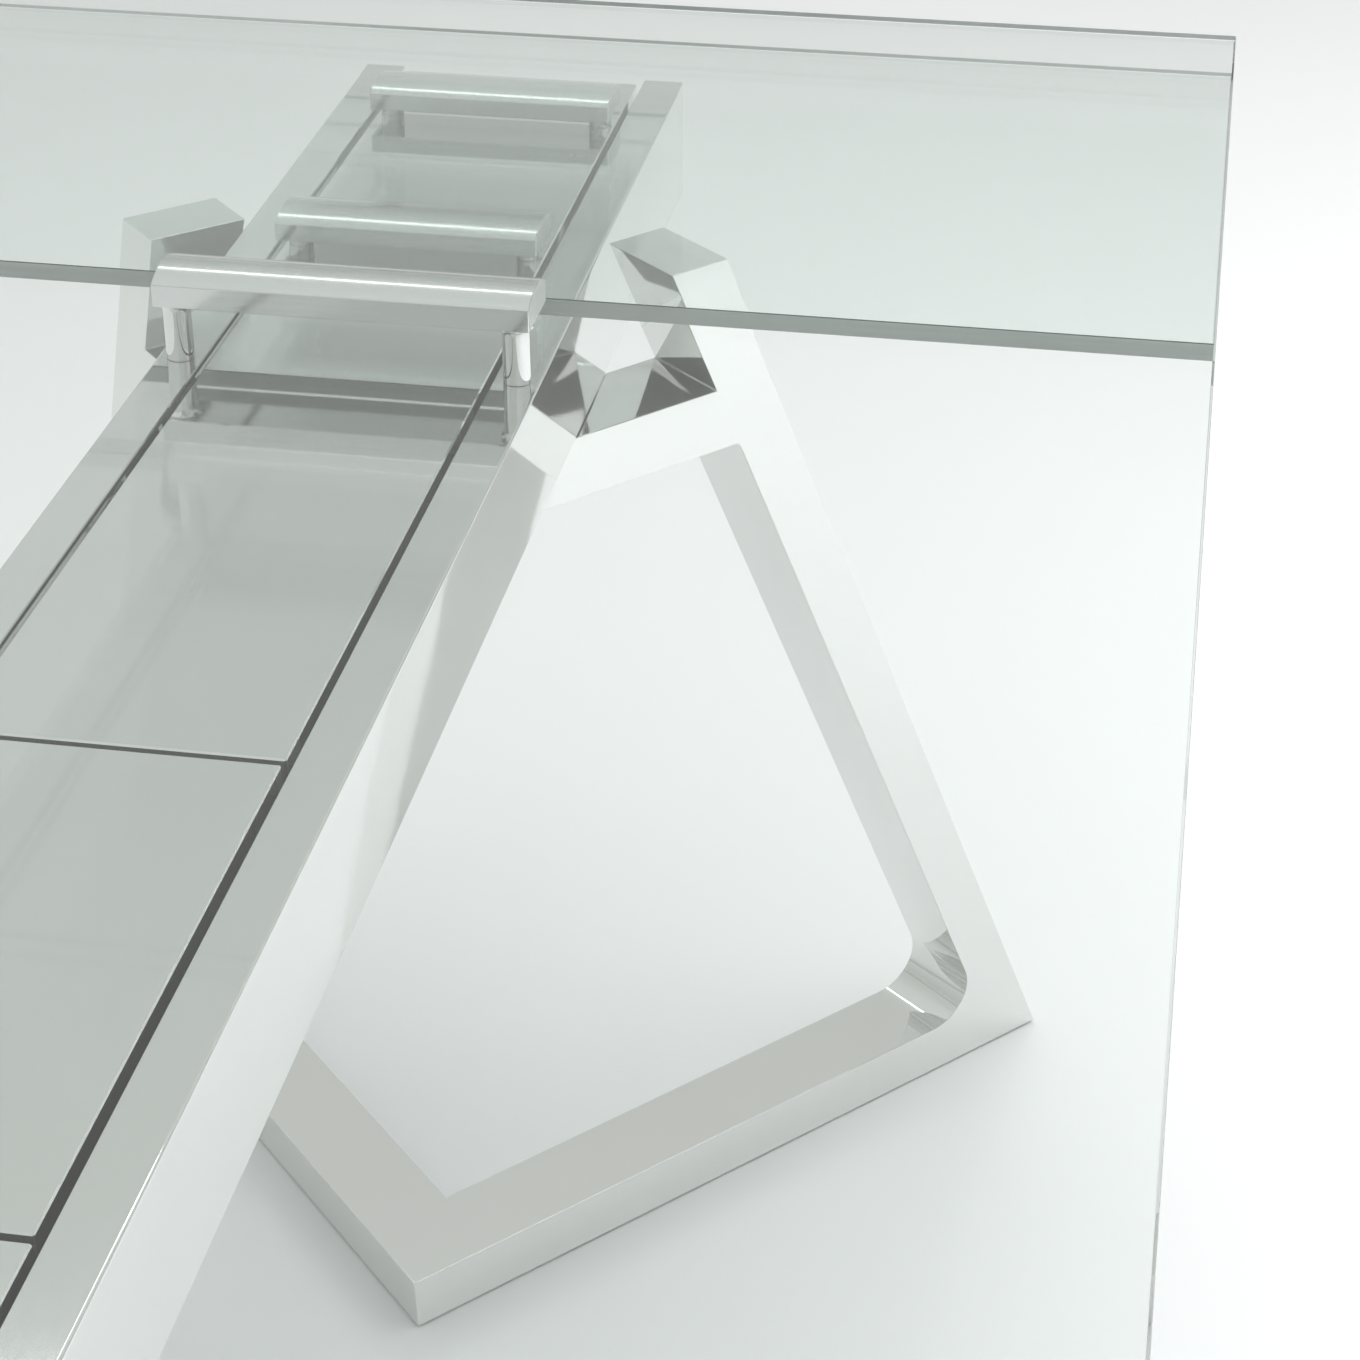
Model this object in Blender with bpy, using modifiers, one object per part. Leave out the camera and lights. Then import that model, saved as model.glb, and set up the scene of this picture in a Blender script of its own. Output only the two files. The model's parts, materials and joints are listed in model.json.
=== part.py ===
"""Extendable dining table: a glass top on two polished trestles and one central beam.

A leaf hides under each end of the top. Each leaf rides on a roller carriage inside the beam.
Frame: origin on the floor under the table's centre, +X along the table, +Z up, metres.
"""

from math import asin, cos, pi, radians, sin, tan

import bmesh
import bpy
from mathutils import Matrix

# ---------------------------------------------------------------- driving dimensions
FIT = 0.0003  # gap kept between pieces that touch
MERGE = 0.00005

TOP_LENGTH = 2.0
TOP_WIDTH = 0.9
TOP_HEIGHT = 0.757
TOP_THICK = 0.012
GLASS_EDGE = 0.0012

LEAF_TRAVEL = 0.40
LEAF_INNER_X = 0.578
LEAF_OUTER_X = 0.993
LEAF_TOP = 0.7268
LEAF_THICK = 0.0098

BEAM_HALF_LENGTH = 0.990
BEAM_HALF_WIDTH = 0.104
BEAM_BOTTOM = 0.619
BEAM_TOP = 0.694
RAIL_WIDTH = 0.0252
RAIL_WALL = 0.003
RAIL_EDGE = 0.0015
CAP_LENGTH = 0.020
CAP_EDGE = 0.0010
LIP_EDGE = 0.0006

PANEL_HALF_WIDTH = 0.0752
PANEL_SHEET = 0.003
PANEL_EDGE = 0.0008
PLATE_EDGE = 0.0003
CARRIAGE_INNER_X = 0.158
CARRIAGE_OUTER_X = 0.981
CARRIAGE_FLANGE_Z = 0.630
CENTRE_HALF_LENGTH = 0.154
CENTRE_HALF_WIDTH = 0.0743

ROLLER_RADIUS = 0.016
ROLLER_WIDTH = 0.012
ROLLER_Y = 0.0895
AXLE_RADIUS = 0.004
AXLE_HOLE_RADIUS = 0.00407
AXLE_CHAMFER = 0.0008
AXLE_HALF_LENGTH = 0.0985
AXLE_X = (0.190, 0.530)
RUNNER_THICK = 0.003
RUNNER_INSET = 0.002
ROLLER_HEAD_ROOM = 0.001

MAIN_BAR_X = 0.5545
MAIN_BAR_WIDTH = 0.043
MAIN_BAR_HALF_LENGTH = 0.101
MAIN_BAR_BOTTOM = 0.7265
MAIN_BAR_SIDE = 0.0125
BAR_EDGE = 0.0005
POST_RADIUS = 0.0075
POST_X = 0.5445
POST_Y = 0.0915
COLLAR_RIM = 0.0010
COLLAR_GROW = 0.0020
THROAT_GROW = 0.0008
THROAT_DEPTH = 0.0022
COLLAR_DEPTH = 0.0045

LEAF_BAR_X = (0.693, 0.906)
LEAF_BAR_WIDTH = 0.042
LEAF_BAR_HALF_LENGTH = 0.075
LEAF_BAR_BOTTOM = 0.7025
LEAF_BAR_SIDE = 0.0105
FOOT_RADIUS = 0.007
FOOT_Y = 0.066

TRESTLE_APEX_X = 0.582
ARM_ANGLE = radians(42.45)
FRAME_LEAN = radians(3.74)
STRUT_ANGLE = radians(64.47)
ARM_LENGTH = 0.5446
MEMBER_WIDTH = 0.0592
STRUT_DEPTH = 0.0355
FLOOR_MEMBER_TOP = 0.040
CROSS_DEPTH = 0.0400
HORN_TOP = 0.6945
CORNER_RADIUS = 0.028
WELD_RADIUS = 0.004
FRAME_EDGE = 0.0008

GLIDE_RADIUS = 0.016
GLIDE_THICK = 0.0010
GLIDE_INSET = 0.045
BOLT_RADIUS = 0.004
BOLT_HEAD_RADIUS = 0.0065
BOLT_HEAD_DEPTH = 0.008
BOLT_HEAD_RECESS = 0.001
BOLT_HOLE_RUN = 0.004
DRILL_DEPTH = 0.02
AXLE_DRILL_DEPTH = 0.24

BUMPER_RADIUS = 0.007
BUMPER_HEIGHT = 0.655
STOP_LENGTH = 0.030
STOP_HALF_WIDTH = 0.045
STOP_RISE = 0.016
STOP_EDGE = 0.0008
STOP_GAP = 0.0005

# ---------------------------------------------------------------- values worked out from them
GLASS_BOTTOM = TOP_HEIGHT - TOP_THICK
LEAF_BOTTOM = LEAF_TOP - LEAF_THICK
RAIL_END = BEAM_HALF_LENGTH - CAP_LENGTH - FIT
RAIL_INNER_Y = BEAM_HALF_WIDTH - RAIL_WIDTH
FLANGE_UNDERSIDE = BEAM_TOP - RAIL_WALL
AXLE_Z = FLANGE_UNDERSIDE - ROLLER_HEAD_ROOM - ROLLER_RADIUS
RUNNER_TOP = AXLE_Z - ROLLER_RADIUS - FIT
PLATE_BOTTOM = BEAM_BOTTOM + RAIL_WALL + FIT
PLATE_TOP = PLATE_BOTTOM + RAIL_WALL
CROSS_TOP = BEAM_BOTTOM - FIT
CROSS_BOTTOM = CROSS_TOP - CROSS_DEPTH
FRAME_BOTTOM = GLIDE_THICK + FIT
BOLT_HOLE_RADIUS = BOLT_RADIUS + FIT
STOP_X = CARRIAGE_INNER_X + PANEL_SHEET + LEAF_TRAVEL + STOP_GAP

ENDS = (("far", 1), ("near", -1))
SIDES = (("left", 1), ("right", -1))

# ---------------------------------------------------------------- materials and collections
FINISHES = {
    "polished_steel": ((0.80, 0.81, 0.80), 0.06, 1.0),
    "satin_steel": ((0.82, 0.83, 0.83), 0.22, 1.0),
    "clear_glass": ((0.80, 0.90, 0.86), 0.02, 0.0),
    "nylon": ((0.86, 0.86, 0.82), 0.45, 0.0),
    "rubber": ((0.06, 0.06, 0.06), 0.80, 0.0),
    "zinc_steel": ((0.55, 0.56, 0.57), 0.35, 1.0),
}


def clear_scene():
    for item in list(bpy.data.objects):
        bpy.data.objects.remove(item, do_unlink=True)


def collection(name):
    made = bpy.data.collections.new(name)
    bpy.context.scene.collection.children.link(made)
    return made


def material(part_name, finish):
    """Each part has a material of its own, in one of the named finishes."""
    colour, roughness, metallic = FINISHES[finish]
    made = bpy.data.materials.new(part_name + "_" + finish)
    made.use_nodes = True
    shader = made.node_tree.nodes["Principled BSDF"]
    shader.inputs["Base Color"].default_value = (*colour, 1.0)
    shader.inputs["Roughness"].default_value = roughness
    shader.inputs["Metallic"].default_value = metallic
    if finish == "clear_glass":
        shader.inputs["Transmission Weight"].default_value = 1.0
        shader.inputs["IOR"].default_value = 1.52
    made.diffuse_color = (*colour, 1.0)
    return made


# ---------------------------------------------------------------- modelling helpers
def add_object(name, mesh, finish):
    part = bpy.data.objects.new(name, mesh)
    PARTS.objects.link(part)
    mesh.materials.clear()
    mesh.materials.append(material(name, finish))
    return part


def add_cutter(name, mesh):
    cutter = bpy.data.objects.new(name, mesh)
    CUTTERS.objects.link(cutter)
    cutter.hide_render = True
    cutter.display_type = "WIRE"
    return cutter


def box_mesh(name, low, high, open_below=False):
    """A box between two corners; open_below leaves out its underside."""
    size = [b - a for a, b in zip(low, high)]
    middle = [(a + b) / 2 for a, b in zip(low, high)]
    bm = bmesh.new()
    bmesh.ops.create_cube(bm, size=1.0, matrix=Matrix.Translation(middle) @ Matrix.Diagonal((*size, 1.0)))
    if open_below:
        under = min(bm.faces, key=lambda face: face.calc_center_median().z)
        bmesh.ops.delete(bm, geom=[under], context="FACES_ONLY")
    mesh = bpy.data.meshes.new(name)
    bm.to_mesh(mesh)
    bm.free()
    return mesh


def cylinder_mesh(name, radius, depth, centre, axis="Z", segments=24):
    turn = {"X": Matrix.Rotation(pi / 2, 4, "Y"), "Y": Matrix.Rotation(pi / 2, 4, "X"), "Z": Matrix()}[axis]
    bm = bmesh.new()
    bmesh.ops.create_cone(
        bm, cap_ends=True, segments=segments, radius1=radius, radius2=radius, depth=depth,
        matrix=Matrix.Translation(centre) @ turn,
    )
    mesh = bpy.data.meshes.new(name)
    bm.to_mesh(mesh)
    bm.free()
    return mesh


def outline_mesh(name, outline, thickness, place):
    """A flat outline in its own XY plane, made a plate of this thickness and set by a matrix."""
    curve = bpy.data.curves.new(name, "CURVE")
    curve.dimensions = "2D"
    curve.fill_mode = "BOTH"
    curve.extrude = thickness / 2
    spline = curve.splines.new("POLY")
    spline.points.add(len(outline) - 1)
    for point, (across, up) in zip(spline.points, outline):
        point.co = (across, up, 0.0, 1.0)
    spline.use_cyclic_u = True
    drawn = bpy.data.objects.new(name, curve)
    bpy.context.scene.collection.objects.link(drawn)
    evaluated = drawn.evaluated_get(bpy.context.evaluated_depsgraph_get())
    mesh = bpy.data.meshes.new_from_object(evaluated)
    bm = bmesh.new()
    bm.from_mesh(mesh)
    bmesh.ops.remove_doubles(bm, verts=bm.verts, dist=MERGE)
    bmesh.ops.dissolve_limit(bm, angle_limit=radians(0.5), verts=bm.verts, edges=bm.edges)
    bmesh.ops.transform(bm, matrix=place, verts=bm.verts)
    bmesh.ops.recalc_face_normals(bm, faces=bm.faces)
    bm.to_mesh(mesh)
    bm.free()
    bpy.data.objects.remove(drawn, do_unlink=True)
    mesh.name = name
    return mesh


def arc(centre, radius, start, end, steps):
    """Points along an arc, both ends included."""
    turn = (end - start) / steps
    return [
        (centre[0] + radius * cos(start + turn * i), centre[1] + radius * sin(start + turn * i))
        for i in range(steps + 1)
    ]


def turned_object(name, profile, centre, add, steps):
    """A profile of (radius, height) points, given from top to bottom, turned about Z."""
    mesh = bpy.data.meshes.new(name)
    bm = bmesh.new()
    points = [bm.verts.new((radius, 0.0, height)) for radius, height in profile]
    pairs = list(zip(points, points[1:]))
    if min(radius for radius, _ in profile) > 0:
        pairs.append((points[-1], points[0]))
    for first, second in pairs:
        bm.edges.new((first, second))
    bm.to_mesh(mesh)
    bm.free()
    part = add(name, mesh)
    part.location = centre
    screw = part.modifiers.new("turn", "SCREW")
    screw.steps = steps
    screw.render_steps = steps
    screw.use_merge_vertices = True
    screw.merge_threshold = MERGE
    screw.use_smooth_shade = True
    return part


def turned(name, profile, centre, finish, steps, across=False):
    """A turned part; across lays its axis along Y."""
    def add(part_name, mesh):
        return add_object(part_name, mesh, finish)

    part = turned_object(name, profile, centre, add, steps)
    if across:
        part.rotation_euler = (-pi / 2, 0.0, 0.0)
    return part


def bevel(part, width, segments):
    modifier = part.modifiers.new("edges", "BEVEL")
    modifier.width = width
    modifier.segments = segments
    modifier.limit_method = "ANGLE"
    modifier.angle_limit = radians(35)


def cut(part, cutter):
    modifier = part.modifiers.new("cut " + cutter.name, "BOOLEAN")
    modifier.operation = "DIFFERENCE"
    modifier.solver = "EXACT"
    modifier.object = cutter


def plate(name, low, high, finish, edge, segments=1):
    part = add_object(name, box_mesh(name, low, high), finish)
    bevel(part, edge, segments)
    return part


# ---------------------------------------------------------------- trestles
def frame_point(along, inward, height, end):
    """A point of the right-hand half frame, from its distances along the arm and into the V."""
    out = inward - height * tan(FRAME_LEAN)
    x = TRESTLE_APEX_X + cos(ARM_ANGLE) * along + sin(ARM_ANGLE) * out
    y = -sin(ARM_ANGLE) * along + cos(ARM_ANGLE) * out
    return end * x, y, height


def half_frame_outline():
    """The half frame seen square on: floor member, strut with its horn, and cross member."""
    beyond_centre = -0.10
    strut_width = STRUT_DEPTH / sin(STRUT_ANGLE)

    def outer(height):
        return ARM_LENGTH - height / tan(STRUT_ANGLE)

    def inner(height):
        return outer(height) - strut_width

    toe_reach = CORNER_RADIUS / tan(STRUT_ANGLE / 2)
    toe_centre = (inner(FLOOR_MEMBER_TOP) - toe_reach, FLOOR_MEMBER_TOP + CORNER_RADIUS)
    toe_arc = arc(toe_centre, CORNER_RADIUS, pi / 2 - STRUT_ANGLE, -pi / 2, 10)
    upper_reach = WELD_RADIUS * tan(STRUT_ANGLE / 2)
    upper_centre = (inner(CROSS_BOTTOM) - upper_reach, CROSS_BOTTOM - WELD_RADIUS)
    upper_arc = arc(upper_centre, WELD_RADIUS, pi / 2, pi / 2 - STRUT_ANGLE, 3)
    return [
        (beyond_centre, FRAME_BOTTOM),
        (outer(FRAME_BOTTOM), FRAME_BOTTOM),
        (outer(HORN_TOP), HORN_TOP),
        (inner(HORN_TOP), HORN_TOP),
        (inner(CROSS_TOP), CROSS_TOP),
        (beyond_centre, CROSS_TOP),
        (beyond_centre, CROSS_BOTTOM),
        *upper_arc,
        *toe_arc,
        (beyond_centre, FLOOR_MEMBER_TOP),
    ]


def trestle(end_name, end):
    """Two leaning half frames that meet at the centre plane in a V, with its apex inboard."""
    name = "trestle_" + end_name
    flat = outline_mesh(name, half_frame_outline(), MEMBER_WIDTH, Matrix())
    for vertex in flat.vertices:
        along, height, across = vertex.co
        vertex.co = frame_point(along, across + MEMBER_WIDTH / 2, height, end)
    bm = bmesh.new()
    bm.from_mesh(flat)
    bmesh.ops.recalc_face_normals(bm, faces=bm.faces)
    bm.to_mesh(flat)
    bm.free()
    part = add_object(name, flat, "polished_steel")
    mirror = part.modifiers.new("other half", "MIRROR")
    mirror.use_axis = (False, True, False)
    mirror.use_bisect_axis = (False, True, False)
    mirror.use_bisect_flip_axis = (False, True, False)
    mirror.merge_threshold = MERGE
    bevel(part, FRAME_EDGE, 2)
    for side_name, side in SIDES:
        place = (*bolt_place(end, side), 0.0)
        cutter_name = "cut_bolt_%s_%s" % (end_name, side_name)
        cut(part, turned_object(cutter_name, bolt_profile(FIT, BOLT_HOLE_RUN), place, add_cutter, 20))


def bolt_place(end, side):
    """Where the middle of a cross member passes under a rail's lower flange."""
    y = BEAM_HALF_WIDTH - RAIL_WIDTH / 2
    inward = MEMBER_WIDTH / 2 - CROSS_TOP * tan(FRAME_LEAN)
    along = (y + cos(ARM_ANGLE) * inward) / sin(ARM_ANGLE)
    x = TRESTLE_APEX_X + cos(ARM_ANGLE) * along + sin(ARM_ANGLE) * inward
    return end * x, side * y


def bolt_profile(grow, below):
    """A socket bolt that stands head down; grow and below make it the shape of its own hole."""
    head_low = CROSS_BOTTOM + BOLT_HEAD_RECESS - below
    head_high = CROSS_BOTTOM + BOLT_HEAD_RECESS + BOLT_HEAD_DEPTH + grow
    tip = PLATE_TOP - FIT + below
    shank = BOLT_RADIUS + grow
    head = BOLT_HEAD_RADIUS + grow
    return [
        (0.0, tip), (shank, tip), (shank, head_high),
        (head, head_high), (head, head_low), (0.0, head_low),
    ]


def trestle_bolts(end_name, end):
    for side_name, side in SIDES:
        name = "trestle_bolt_%s_%s" % (end_name, side_name)
        turned(name, bolt_profile(0.0, 0.0), (*bolt_place(end, side), 0.0), "zinc_steel", 20)


def floor_glides(end_name, end):
    """Thin pads under the V's apex and under the end of each arm."""
    middle = MEMBER_WIDTH / 2
    reach = ARM_LENGTH - GLIDE_INSET
    arm_x, arm_y, _ = frame_point(reach, middle, 0.0, end)
    apex_x = end * (TRESTLE_APEX_X + middle / sin(ARM_ANGLE))
    spots = (("apex", apex_x, 0.0), ("right", arm_x, arm_y), ("left", arm_x, -arm_y))
    for spot, x, y in spots:
        name = "glide_%s_%s" % (end_name, spot)
        mesh = cylinder_mesh(name, GLIDE_RADIUS, GLIDE_THICK, (x, y, GLIDE_THICK / 2), segments=28)
        add_object(name, mesh, "nylon")


# ---------------------------------------------------------------- beam
def rail_outline(side):
    """C-shaped rail with a runner inside, open towards the beam's middle; (y, z) points."""
    outer = BEAM_HALF_WIDTH
    web = outer - RAIL_WALL
    inner = RAIL_INNER_Y
    runner_bottom = RUNNER_TOP - RUNNER_THICK
    low_corner = arc((outer - RAIL_EDGE, BEAM_BOTTOM + RAIL_EDGE), RAIL_EDGE, -pi / 2, 0.0, 3)
    high_corner = arc((outer - RAIL_EDGE, BEAM_TOP - RAIL_EDGE), RAIL_EDGE, 0.0, pi / 2, 3)
    points = [
        (inner, BEAM_BOTTOM),
        *low_corner,
        *high_corner,
        (inner + LIP_EDGE, BEAM_TOP),
        (inner, BEAM_TOP - LIP_EDGE),
        (inner, FLANGE_UNDERSIDE),
        (web, FLANGE_UNDERSIDE),
        (web, RUNNER_TOP),
        (inner + RUNNER_INSET, RUNNER_TOP),
        (inner + RUNNER_INSET, runner_bottom),
        (web, runner_bottom),
        (web, BEAM_BOTTOM + RAIL_WALL),
        (inner, BEAM_BOTTOM + RAIL_WALL),
    ]
    return [(side * y, z) for y, z in points]


def along_x():
    """Sets an outline's plane across the table, so that its thickness runs along X."""
    return Matrix(((0, 0, 1, 0), (1, 0, 0, 0), (0, 1, 0, 0), (0, 0, 0, 1)))


def along_y():
    """Sets an outline's plane along the table, so that its thickness runs along Y."""
    return Matrix(((1, 0, 0, 0), (0, 0, -1, 0), (0, 1, 0, 0), (0, 0, 0, 1)))


def side_rail(side_name, side):
    name = "side_rail_" + side_name
    mesh = outline_mesh(name, rail_outline(side), 2 * RAIL_END, along_x())
    part = add_object(name, mesh, "polished_steel")
    for end_name, end in ENDS:
        x, y = bolt_place(end, side)
        cutter_name = "cut_flange_%s_%s" % (end_name, side_name)
        hole = cylinder_mesh(cutter_name, BOLT_HOLE_RADIUS, DRILL_DEPTH, (x, y, BEAM_BOTTOM), segments=20)
        cut(part, add_cutter(cutter_name, hole))


def rail_caps():
    for end_name, end in ENDS:
        for side_name, side in SIDES:
            xs = sorted((end * (BEAM_HALF_LENGTH - CAP_LENGTH), end * BEAM_HALF_LENGTH))
            ys = sorted((side * RAIL_INNER_Y, side * BEAM_HALF_WIDTH))
            plate(
                "rail_cap_%s_%s" % (end_name, side_name),
                (xs[0], ys[0], BEAM_BOTTOM), (xs[1], ys[1], BEAM_TOP), "polished_steel", CAP_EDGE, 2,
            )


def bottom_plate():
    half_width = BEAM_HALF_WIDTH - RAIL_WALL - FIT
    low = (-RAIL_END, -half_width, PLATE_BOTTOM)
    high = (RAIL_END, half_width, PLATE_TOP)
    part = plate("bottom_plate", low, high, "satin_steel", PLATE_EDGE)
    for end_name, end in ENDS:
        for side_name, side in SIDES:
            spot = (*bolt_place(end, side), PLATE_BOTTOM)
            cutter_name = "cut_plate_%s_%s" % (end_name, side_name)
            hole = cylinder_mesh(cutter_name, BOLT_HOLE_RADIUS, DRILL_DEPTH, spot, segments=20)
            cut(part, add_cutter(cutter_name, hole))


def folded_tray(name, low, high, holes_x=()):
    """A folded sheet panel: a flat top with its four edges turned down, open below."""
    part = add_object(name, box_mesh(name, low, high, open_below=True), "polished_steel")
    shell = part.modifiers.new("sheet", "SOLIDIFY")
    shell.thickness = PANEL_SHEET
    shell.offset = -1.0
    shell.use_even_offset = True
    bevel(part, PANEL_EDGE, 1)
    for index, x in enumerate(holes_x):
        cutter_name = "cut_%s_%d" % (name, index)
        hole = cylinder_mesh(cutter_name, AXLE_HOLE_RADIUS, AXLE_DRILL_DEPTH, (x, 0.0, AXLE_Z), "Y", 24)
        cut(part, add_cutter(cutter_name, hole))


def centre_panel():
    low = (-CENTRE_HALF_LENGTH, -CENTRE_HALF_WIDTH, PLATE_TOP + FIT)
    high = (CENTRE_HALF_LENGTH, CENTRE_HALF_WIDTH, BEAM_TOP)
    folded_tray("centre_panel", low, high)


def stops(end_name, end):
    """A rubber bumper where the carriage closes, and a block that its inner lip meets when out."""
    gap = CARRIAGE_INNER_X - CENTRE_HALF_LENGTH
    bumper = "bumper_" + end_name
    middle = (end * (CENTRE_HALF_LENGTH + gap / 2), 0.0, BUMPER_HEIGHT)
    mesh = cylinder_mesh(bumper, BUMPER_RADIUS, gap - 2 * FIT, middle, "X", 20)
    add_object(bumper, mesh, "rubber")
    xs = sorted((end * STOP_X, end * (STOP_X + STOP_LENGTH)))
    low = (xs[0], -STOP_HALF_WIDTH, PLATE_TOP + FIT)
    high = (xs[1], STOP_HALF_WIDTH, PLATE_TOP + STOP_RISE)
    plate("travel_stop_" + end_name, low, high, "nylon", STOP_EDGE)


# ---------------------------------------------------------------- bars, posts and glass
def bar_outline(middle_x, width, bottom, side_height, crown):
    """D section: flat below, upright sides and a shallow arch; (x, z) points."""
    half = width / 2
    rise = crown - bottom - side_height
    radius = (half * half + rise * rise) / (2 * rise)
    half_angle = asin(half / radius)
    arch = arc((middle_x, crown - radius), radius, pi / 2 - half_angle, pi / 2 + half_angle, 14)
    return [(middle_x - half, bottom), (middle_x + half, bottom), *arch]


def arched_bar(name, middle_x, width, half_length, bottom, side_height, crown):
    outline = bar_outline(middle_x, width, bottom, side_height, crown)
    part = add_object(name, outline_mesh(name, outline, 2 * half_length, along_y()), "satin_steel")
    bevel(part, BAR_EDGE, 1)


def main_supports(end_name, end):
    arched_bar(
        "main_bar_" + end_name, end * MAIN_BAR_X, MAIN_BAR_WIDTH, MAIN_BAR_HALF_LENGTH,
        MAIN_BAR_BOTTOM, MAIN_BAR_SIDE, GLASS_BOTTOM - FIT,
    )
    height = MAIN_BAR_BOTTOM - BEAM_TOP - 2 * FIT
    collar = POST_RADIUS + COLLAR_GROW
    profile = [
        (0.0, height), (collar, height), (collar, height - COLLAR_RIM),
        (POST_RADIUS + THROAT_GROW, height - THROAT_DEPTH), (POST_RADIUS, height - COLLAR_DEPTH),
        (POST_RADIUS, 0.0), (0.0, 0.0),
    ]
    for side_name, side in SIDES:
        foot = (end * POST_X, side * POST_Y, BEAM_TOP + FIT)
        turned("post_%s_%s" % (end_name, side_name), profile, foot, "polished_steel", 28)


def leaf_supports(end_name, end):
    height = LEAF_BAR_BOTTOM - BEAM_TOP - 2 * FIT
    profile = [(0.0, height), (FOOT_RADIUS, height), (FOOT_RADIUS, 0.0), (0.0, 0.0)]
    for place, x in zip(("inner", "outer"), LEAF_BAR_X):
        arched_bar(
            "leaf_bar_%s_%s" % (end_name, place), end * x, LEAF_BAR_WIDTH, LEAF_BAR_HALF_LENGTH,
            LEAF_BAR_BOTTOM, LEAF_BAR_SIDE, LEAF_BOTTOM - FIT,
        )
        for side_name, side in SIDES:
            foot = (end * x, side * FOOT_Y, BEAM_TOP + FIT)
            turned("bar_foot_%s_%s_%s" % (end_name, place, side_name), profile, foot, "satin_steel", 20)


def pane(name, low, high):
    plate(name, low, high, "clear_glass", GLASS_EDGE, 2)


# ---------------------------------------------------------------- leaf carriages
def carriage(end_name, end):
    xs = sorted((end * CARRIAGE_INNER_X, end * CARRIAGE_OUTER_X))
    half_width = PANEL_HALF_WIDTH
    folded_tray(
        "carriage_" + end_name, (xs[0], -half_width, CARRIAGE_FLANGE_Z), (xs[1], half_width, BEAM_TOP),
        [end * x for x in AXLE_X],
    )
    leaf_xs = sorted((end * LEAF_INNER_X, end * LEAF_OUTER_X))
    low = (leaf_xs[0], -TOP_WIDTH / 2, LEAF_BOTTOM)
    high = (leaf_xs[1], TOP_WIDTH / 2, LEAF_TOP)
    pane("leaf_glass_" + end_name, low, high)


def roller_set(end_name, place, x):
    """An axle across the carriage, with a nylon roller fixed near each end."""
    chamfer = AXLE_CHAMFER
    half = AXLE_HALF_LENGTH
    axle_profile = [
        (0.0, half), (AXLE_RADIUS - chamfer, half), (AXLE_RADIUS, half - chamfer),
        (AXLE_RADIUS, chamfer - half), (AXLE_RADIUS - chamfer, -half), (0.0, -half),
    ]
    name = "axle_%s_%s" % (end_name, place)
    turned(name, axle_profile, (x, 0.0, AXLE_Z), "zinc_steel", 20, across=True)
    side = ROLLER_WIDTH / 2
    roller_profile = [
        (AXLE_RADIUS + FIT, side), (ROLLER_RADIUS - chamfer, side), (ROLLER_RADIUS, side - chamfer),
        (ROLLER_RADIUS, chamfer - side), (ROLLER_RADIUS - chamfer, -side), (AXLE_RADIUS + FIT, -side),
    ]
    for side_name, way in SIDES:
        name = "roller_%s_%s_%s" % (end_name, place, side_name)
        turned(name, roller_profile, (x, way * ROLLER_Y, AXLE_Z), "nylon", 28, across=True)


# ---------------------------------------------------------------- the table
clear_scene()
PARTS = collection("extendable_dining_table")
CUTTERS = collection("cutters")

pane(
    "main_glass",
    (-TOP_LENGTH / 2, -TOP_WIDTH / 2, GLASS_BOTTOM),
    (TOP_LENGTH / 2, TOP_WIDTH / 2, TOP_HEIGHT),
)
for rail_name, rail_side in SIDES:
    side_rail(rail_name, rail_side)
rail_caps()
bottom_plate()
centre_panel()
for end_label, end_sign in ENDS:
    trestle(end_label, end_sign)
    trestle_bolts(end_label, end_sign)
    floor_glides(end_label, end_sign)
    stops(end_label, end_sign)
    main_supports(end_label, end_sign)
    leaf_supports(end_label, end_sign)
    carriage(end_label, end_sign)
    for axle_place, axle_x in zip(("inner", "outer"), AXLE_X):
        roller_set(end_label, axle_place, end_sign * axle_x)
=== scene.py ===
"""Looks of the extendable dining table: materials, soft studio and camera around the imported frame.

Row frame: origin on the floor under the table's centre, +X along the table, +Z up, metres.
"""

import json
from math import radians

import bpy
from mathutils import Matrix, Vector


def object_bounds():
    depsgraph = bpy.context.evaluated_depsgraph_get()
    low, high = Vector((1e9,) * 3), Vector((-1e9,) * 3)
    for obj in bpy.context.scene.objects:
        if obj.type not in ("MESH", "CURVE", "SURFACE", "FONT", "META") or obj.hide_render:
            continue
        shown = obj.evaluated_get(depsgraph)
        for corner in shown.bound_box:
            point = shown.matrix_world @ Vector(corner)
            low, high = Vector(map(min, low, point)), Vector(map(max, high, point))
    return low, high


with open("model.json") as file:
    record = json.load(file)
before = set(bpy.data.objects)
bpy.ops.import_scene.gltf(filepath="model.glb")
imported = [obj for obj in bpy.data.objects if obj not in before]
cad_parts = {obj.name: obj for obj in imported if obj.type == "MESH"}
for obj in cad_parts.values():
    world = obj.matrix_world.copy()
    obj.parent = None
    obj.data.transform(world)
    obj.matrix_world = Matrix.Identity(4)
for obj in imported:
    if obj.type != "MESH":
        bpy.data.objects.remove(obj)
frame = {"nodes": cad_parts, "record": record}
cad_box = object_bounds()

NODES = frame["nodes"]
SLOT_OF = {row["node"]: row["material_slot"] for row in frame["record"]["subparts"]}

# ---------------------------------------------------------------- studio and camera values
CAMERA_PLACE = (-0.9585, -0.4346, 1.4137)
CAMERA_TURN = (59.88, 0.0, -80.31)
CAMERA_LENS = 85.3
CAMERA_SENSOR = 36.0

FLOOR_SIZE = 16.0
FLOOR_DROP = 0.0004

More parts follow.
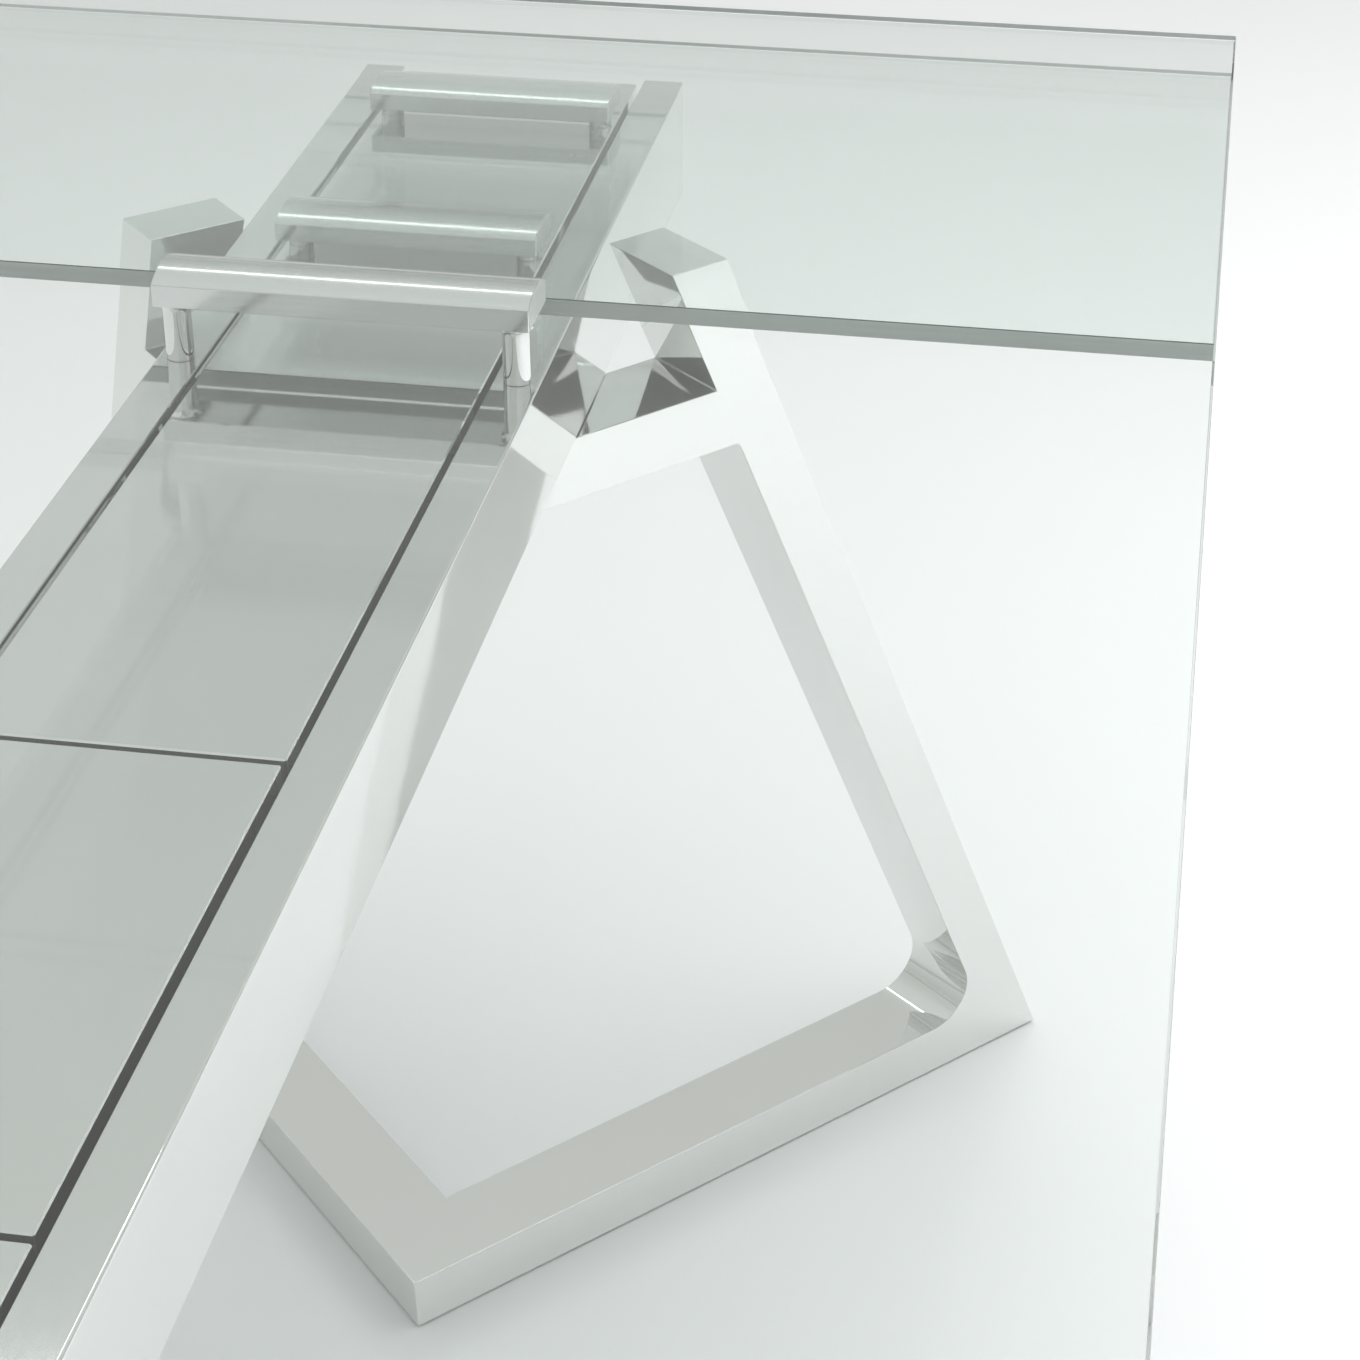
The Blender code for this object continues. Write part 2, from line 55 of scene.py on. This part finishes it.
# (name, place, target, size, power, spread in degrees, whether mirrors and glass show it)
LIGHTS = (
    ("overhead", (0.1, 0.0, 3.4), (0.5, 0.0, 0.0), (3.6, 3.6), 58.0, 180.0, False),
    ("far", (3.0, -0.8, 3.2), (3.0, -0.8, 0.0), (3.4, 3.4), 26.0, 180.0, False),
    ("strip", (6.65, 1.05, 7.35), (0.55, 0.0, 0.74), (6.5, 0.30), 26.0, 180.0, True),
    ("side", (0.9, -2.2, 2.4), (0.9, -1.8, 0.0), (4.0, 1.4), 20.0, 80.0, True),
)

# ---------------------------------------------------------------- surface values
GLASS_IOR = 1.52
GLASS_TINT = (0.966, 0.992, 0.984, 1.0)
GLASS_DEPTH_TINT = (0.62, 0.86, 0.80, 1.0)
GLASS_DEPTH_DENSITY = 2.0
GLASS_SHADOW_TINT = (0.965, 0.978, 0.974, 1.0)
GLASS_RIM_CLARITY = 0.35
GLASS_RIM_FADE = (0.45, 0.60)
# Painted reflection: satin faces turned along Y (the bar ends) fade to rough, nearly non-metallic steel so
# they read pale in place of the bright reflection on their polished ends.
PAINTED_PALE_END_FADE = (0.80, 0.95)
PAINTED_PALE_END_ROUGHNESS = 0.30
PAINTED_PALE_END_METAL = 0.12
SATIN_METAL = 0.97
POLISHED_METAL = 0.95

# ---------------------------------------------------------------- smoothing values
WELD_DISTANCE = 0.00001
SHARP_ANGLE = radians(33.0)
FLAT_FACE_WEIGHT = 100


# ---------------------------------------------------------------- node helpers
class Nodes:
    """A short way to add and join the nodes of one material."""

    def __init__(self, tree):
        self.tree = tree

    def add(self, kind, **values):
        node = self.tree.nodes.new(kind)
        for name, value in values.items():
            if name.startswith("in_"):
                node.inputs[name[3:].replace("_", " ")].default_value = value
            else:
                setattr(node, name, value)
        return node

    def link(self, source, target):
        self.tree.links.new(source, target)

    def place(self, scale=(1.0, 1.0, 1.0)):
        """Object coordinates, stretched by scale along each axis."""
        coordinates = self.add("ShaderNodeTexCoord")
        mapping = self.add("ShaderNodeMapping")
        mapping.inputs["Scale"].default_value = scale
        self.link(coordinates.outputs["Object"], mapping.inputs["Vector"])
        return mapping.outputs["Vector"]

    def noise(self, vector, scale, detail=4.0, roughness=0.55):
        node = self.add("ShaderNodeTexNoise", in_Scale=scale, in_Detail=detail, in_Roughness=roughness)
        self.link(vector, node.inputs["Vector"])
        return node.outputs["Fac"]

    def span(self, value, low, high, from_low=0.3, from_high=0.7):
        """Maps a value from one range to another."""
        node = self.add("ShaderNodeMapRange")
        node.inputs["From Min"].default_value = from_low
        node.inputs["From Max"].default_value = from_high
        node.inputs["To Min"].default_value = low
        node.inputs["To Max"].default_value = high
        self.link(value, node.inputs["Value"])
        return node.outputs["Result"]

    def ramp(self, value, *stops):
        """A colour ramp through (place, colour) stops."""
        node = self.add("ShaderNodeValToRGB")
        elements = node.color_ramp.elements
        while len(elements) < len(stops):
            elements.new(0.5)
        for element, (place, colour) in zip(elements, stops):
            element.position = place
            element.color = (*colour, 1.0)
        self.link(value, node.inputs["Fac"])
        return node.outputs["Color"]

    def add_up(self, first, second):
        """The sum of two values."""
        node = self.add("ShaderNodeMath", operation="ADD")
        self.link(first, node.inputs[0])
        self.link(second, node.inputs[1])
        return node.outputs["Value"]

    def facing(self, axis):
        """How squarely the surface faces along an axis, either way: 0 to 1."""
        geometry = self.add("ShaderNodeNewGeometry")
        parts = self.add("ShaderNodeSeparateXYZ")
        self.link(geometry.outputs["Normal"], parts.inputs["Vector"])
        size = self.add("ShaderNodeMath", operation="ABSOLUTE")
        self.link(parts.outputs[axis], size.inputs[0])
        return size.outputs["Value"]

    def bump(self, height, strength, distance):
        node = self.add("ShaderNodeBump", in_Strength=strength, in_Distance=distance)
        self.link(height, node.inputs["Height"])
        return node.outputs["Normal"]


def new_material(name):
    made = bpy.data.materials.new(name)
    made.use_nodes = True
    return made, Nodes(made.node_tree), made.node_tree.nodes["Principled BSDF"]


# ---------------------------------------------------------------- materials
def polished_steel():
    """Mirror-polished stainless: faint polishing marks, handling haze and a slow waviness."""
    made, nodes, shader = new_material("polished_steel_look")
    haze = nodes.noise(nodes.place(), 6.0)
    marks = nodes.noise(nodes.place((40.0, 260.0, 260.0)), 3.0, detail=6.0)
    tint = nodes.ramp(haze, (0.30, (0.800, 0.802, 0.792)), (0.70, (0.835, 0.837, 0.826)))
    nodes.link(tint, shader.inputs["Base Color"])
    roughness = nodes.add_up(nodes.span(haze, 0.018, 0.045), nodes.span(marks, 0.0, 0.022))
    nodes.link(roughness, shader.inputs["Roughness"])
    waves = nodes.noise(nodes.place(), 9.0, detail=1.0)
    nodes.link(nodes.bump(waves, 0.05, 0.004), shader.inputs["Normal"])
    shader.inputs["Metallic"].default_value = POLISHED_METAL
    return made


def satin_steel():
    """Fine satin finish brushed along the bars; their end faces are made rough and nearly non-metallic so
    they read pale, a painted reflection standing in for the light on their polished ends.
    """
    made, nodes, shader = new_material("satin_steel_look")
    grain = nodes.noise(nodes.place((900.0, 12.0, 900.0)), 1.0, detail=5.0, roughness=0.65)
    cloud = nodes.noise(nodes.place(), 14.0)
    tint = nodes.ramp(grain, (0.30, (0.760, 0.770, 0.762)), (0.70, (0.800, 0.808, 0.802)))
    nodes.link(tint, shader.inputs["Base Color"])
    pale_end_mask = nodes.facing("Y")
    roughness = nodes.add_up(nodes.span(grain, 0.09, 0.13), nodes.span(cloud, 0.0, 0.03))
    # Painted reflection: faces turned along Y, the bar ends, get extra roughness and lose their metal so
    # they read pale.
    pale_end_roughness = nodes.span(pale_end_mask, 0.0, PAINTED_PALE_END_ROUGHNESS, *PAINTED_PALE_END_FADE)
    nodes.link(nodes.add_up(roughness, pale_end_roughness), shader.inputs["Roughness"])
    nodes.link(nodes.bump(grain, 0.03, 0.00003), shader.inputs["Normal"])
    nodes.link(nodes.span(pale_end_mask, SATIN_METAL, PAINTED_PALE_END_METAL, *PAINTED_PALE_END_FADE), shader.inputs["Metallic"])
    return made


def glass_edge(nodes):
    """The ground and polished rim of a pane: paler and milkier than its faces, and green in depth."""
    rim = nodes.add("ShaderNodeBsdfPrincipled")
    streak = nodes.noise(nodes.place((3.0, 3.0, 160.0)), 2.0)
    tint = nodes.ramp(streak, (0.30, (0.48, 0.535, 0.515)), (0.70, (0.57, 0.625, 0.605)))
    nodes.link(tint, rim.inputs["Base Color"])
    nodes.link(nodes.span(streak, 0.12, 0.22), rim.inputs["Roughness"])
    rim.inputs["Transmission Weight"].default_value = GLASS_RIM_CLARITY
    rim.inputs["IOR"].default_value = GLASS_IOR
    return rim


def clear_glass():
    """Clear tempered glass with a green depth; lamps' rays pass it with a light tint."""
    made, nodes, shader = new_material("clear_glass_look")
    smear = nodes.noise(nodes.place(), 5.0, detail=5.0)
    nodes.link(nodes.span(smear, 0.0, 0.002), shader.inputs["Roughness"])
    shader.inputs["Base Color"].default_value = GLASS_TINT
    shader.inputs["Transmission Weight"].default_value = 1.0
    shader.inputs["IOR"].default_value = GLASS_IOR
    depth = nodes.add("ShaderNodeVolumeAbsorption")
    depth.inputs["Color"].default_value = GLASS_DEPTH_TINT
    depth.inputs["Density"].default_value = GLASS_DEPTH_DENSITY
    clear = nodes.add("ShaderNodeBsdfTransparent")
    clear.inputs["Color"].default_value = GLASS_SHADOW_TINT
    path = nodes.add("ShaderNodeLightPath")
    mix = nodes.add("ShaderNodeMixShader")
    output = nodes.tree.nodes["Material Output"]
    body = nodes.add("ShaderNodeMixShader")
    nodes.link(nodes.span(nodes.facing("Z"), 0.0, 1.0, *GLASS_RIM_FADE), body.inputs[0])
    nodes.link(glass_edge(nodes).outputs["BSDF"], body.inputs[1])
    nodes.link(shader.outputs["BSDF"], body.inputs[2])
    nodes.link(path.outputs["Is Shadow Ray"], mix.inputs[0])
    nodes.link(body.outputs["Shader"], mix.inputs[1])
    nodes.link(clear.outputs["BSDF"], mix.inputs[2])
    nodes.link(mix.outputs["Shader"], output.inputs["Surface"])
    nodes.link(depth.outputs["Volume"], output.inputs["Volume"])
    return made


def nylon():
    """Natural nylon, slightly mottled, with a fine moulded texture."""
    made, nodes, shader = new_material("nylon_look")
    mottle = nodes.noise(nodes.place(), 60.0)
    grain = nodes.noise(nodes.place(), 900.0, detail=2.0)
    tint = nodes.ramp(mottle, (0.30, (0.74, 0.73, 0.67)), (0.70, (0.83, 0.82, 0.77)))
    nodes.link(tint, shader.inputs["Base Color"])
    nodes.link(nodes.span(mottle, 0.38, 0.52), shader.inputs["Roughness"])
    nodes.link(nodes.bump(grain, 0.25, 0.0001), shader.inputs["Normal"])
    return made


def rubber():
    """Dull black rubber with a fine grain and paler dust."""
    made, nodes, shader = new_material("rubber_look")
    dust = nodes.noise(nodes.place(), 120.0)
    tint = nodes.ramp(dust, (0.35, (0.020, 0.020, 0.021)), (0.75, (0.055, 0.055, 0.056)))
    nodes.link(tint, shader.inputs["Base Color"])
    nodes.link(nodes.span(dust, 0.72, 0.90), shader.inputs["Roughness"])
    nodes.link(nodes.bump(dust, 0.30, 0.0002), shader.inputs["Normal"])
    return made


def zinc_steel():
    """Zinc-plated steel: pale blue-grey with a cloudy crystalline sheen."""
    made, nodes, shader = new_material("zinc_steel_look")
    cells = nodes.add("ShaderNodeTexVoronoi", in_Scale=350.0)
    nodes.link(nodes.place(), cells.inputs["Vector"])
    cloud = nodes.noise(nodes.place(), 40.0)
    tint = nodes.ramp(cloud, (0.30, (0.47, 0.49, 0.51)), (0.70, (0.60, 0.61, 0.62)))
    nodes.link(tint, shader.inputs["Base Color"])
    nodes.link(nodes.span(cells.outputs["Distance"], 0.26, 0.42, 0.0, 0.8), shader.inputs["Roughness"])
    nodes.link(nodes.bump(cloud, 0.10, 0.0001), shader.inputs["Normal"])
    shader.inputs["Metallic"].default_value = 1.0
    return made


def smooth(node):
    """Shades rounded surfaces smooth with modifiers, so that the node's own vertices stay as they are."""
    mesh = node.data
    mesh.attributes.remove(mesh.attributes["custom_normal"])
    mesh.attributes.remove(mesh.attributes["sharp_edge"])
    mesh.shade_smooth()
    weld = node.modifiers.new("weld", "WELD")
    weld.merge_threshold = WELD_DISTANCE
    split = node.modifiers.new("sharp edges", "EDGE_SPLIT")
    split.split_angle = SHARP_ANGLE
    split.use_edge_sharp = False
    weighted = node.modifiers.new("flat faces", "WEIGHTED_NORMAL")
    weighted.mode = "FACE_AREA"
    weighted.weight = FLAT_FACE_WEIGHT


def dress_nodes():
    """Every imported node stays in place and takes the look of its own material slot."""
    looks = {
        "polished_steel": polished_steel(),
        "satin_steel": satin_steel(),
        "clear_glass": clear_glass(),
        "nylon": nylon(),
        "rubber": rubber(),
        "zinc_steel": zinc_steel(),
    }
    for name, node in NODES.items():
        node.data.materials.clear()
        node.data.materials.append(looks[SLOT_OF[name]])
        if SLOT_OF[name] != "clear_glass":
            smooth(node)


# ---------------------------------------------------------------- studio
def floor_material():
    """Pale studio floor: almost white, softly glossy, with a slow unevenness."""
    made, nodes, shader = new_material("studio_floor")
    cloud = nodes.noise(nodes.place(), 0.7, detail=3.0)
    tint = nodes.ramp(cloud, (0.30, (0.845, 0.855, 0.868)), (0.70, (0.872, 0.881, 0.892)))
    nodes.link(tint, shader.inputs["Base Color"])
    nodes.link(nodes.span(cloud, 0.13, 0.20), shader.inputs["Roughness"])
    return made


def build_floor():
    bpy.ops.mesh.primitive_plane_add(size=FLOOR_SIZE, location=(0.0, 0.0, cad_box[0].z - FLOOR_DROP))
    floor = bpy.context.object
    floor.name = "floor"
    floor.data.materials.append(floor_material())


def build_sky():
    """A soft white room: brightest overhead, greyest low above the horizon, a third darker on the right."""
    world = bpy.data.worlds.new("studio")
    world.use_nodes = True
    bpy.context.scene.world = world
    nodes = Nodes(world.node_tree)
    coordinates = nodes.add("ShaderNodeTexCoord")
    parts = nodes.add("ShaderNodeSeparateXYZ")
    nodes.link(coordinates.outputs["Generated"], parts.inputs["Vector"])
    height = nodes.ramp(
        parts.outputs["Z"],
        (0.00, (0.62, 0.62, 0.62)), (0.30, (0.53, 0.54, 0.52)), (0.48, (0.58, 0.59, 0.57)),
        (0.62, (0.62, 0.62, 0.60)), (0.80, (0.72, 0.73, 0.72)), (1.00, (0.80, 0.81, 0.80)),
    )
    beside = nodes.ramp(
        nodes.span(parts.outputs["Y"], 0.0, 1.0, -1.0, 1.0),
        (0.10, (0.66, 0.66, 0.65)), (0.30, (1.00, 1.00, 1.00)), (1.00, (1.00, 1.00, 1.00)),
    )
    colour = nodes.add("ShaderNodeMix", data_type="RGBA", blend_type="MULTIPLY")
    colour.inputs["Factor"].default_value = 1.0
    nodes.link(height, colour.inputs["A"])
    nodes.link(beside, colour.inputs["B"])
    background = world.node_tree.nodes["Background"]
    background.inputs["Strength"].default_value = 1.0
    nodes.link(colour.outputs["Result"], background.inputs["Color"])


def area_light(name, place, target, size, power, spread, mirrored):
    data = bpy.data.lights.new(name, "AREA")
    data.shape = "RECTANGLE"
    data.size = size[0]
    data.size_y = size[1]
    data.energy = power
    data.spread = radians(spread)
    light = bpy.data.objects.new(name, data)
    light.visible_glossy = mirrored
    light.visible_transmission = mirrored
    light.location = place
    light.rotation_euler = (Vector(target) - Vector(place)).to_track_quat("-Z", "Y").to_euler()
    bpy.context.scene.collection.objects.link(light)


def build_lights():
    for row in LIGHTS:
        area_light(*row)


def build_camera():
    data = bpy.data.cameras.new("camera")
    data.lens = CAMERA_LENS
    data.sensor_width = CAMERA_SENSOR
    camera = bpy.data.objects.new("camera", data)
    camera.location = CAMERA_PLACE
    camera.rotation_euler = [radians(angle) for angle in CAMERA_TURN]
    bpy.context.scene.collection.objects.link(camera)
    bpy.context.scene.camera = camera


# ---------------------------------------------------------------- the scene
bpy.context.scene.view_settings.view_transform = "Standard"
dress_nodes()
build_floor()
build_sky()
build_lights()
build_camera()
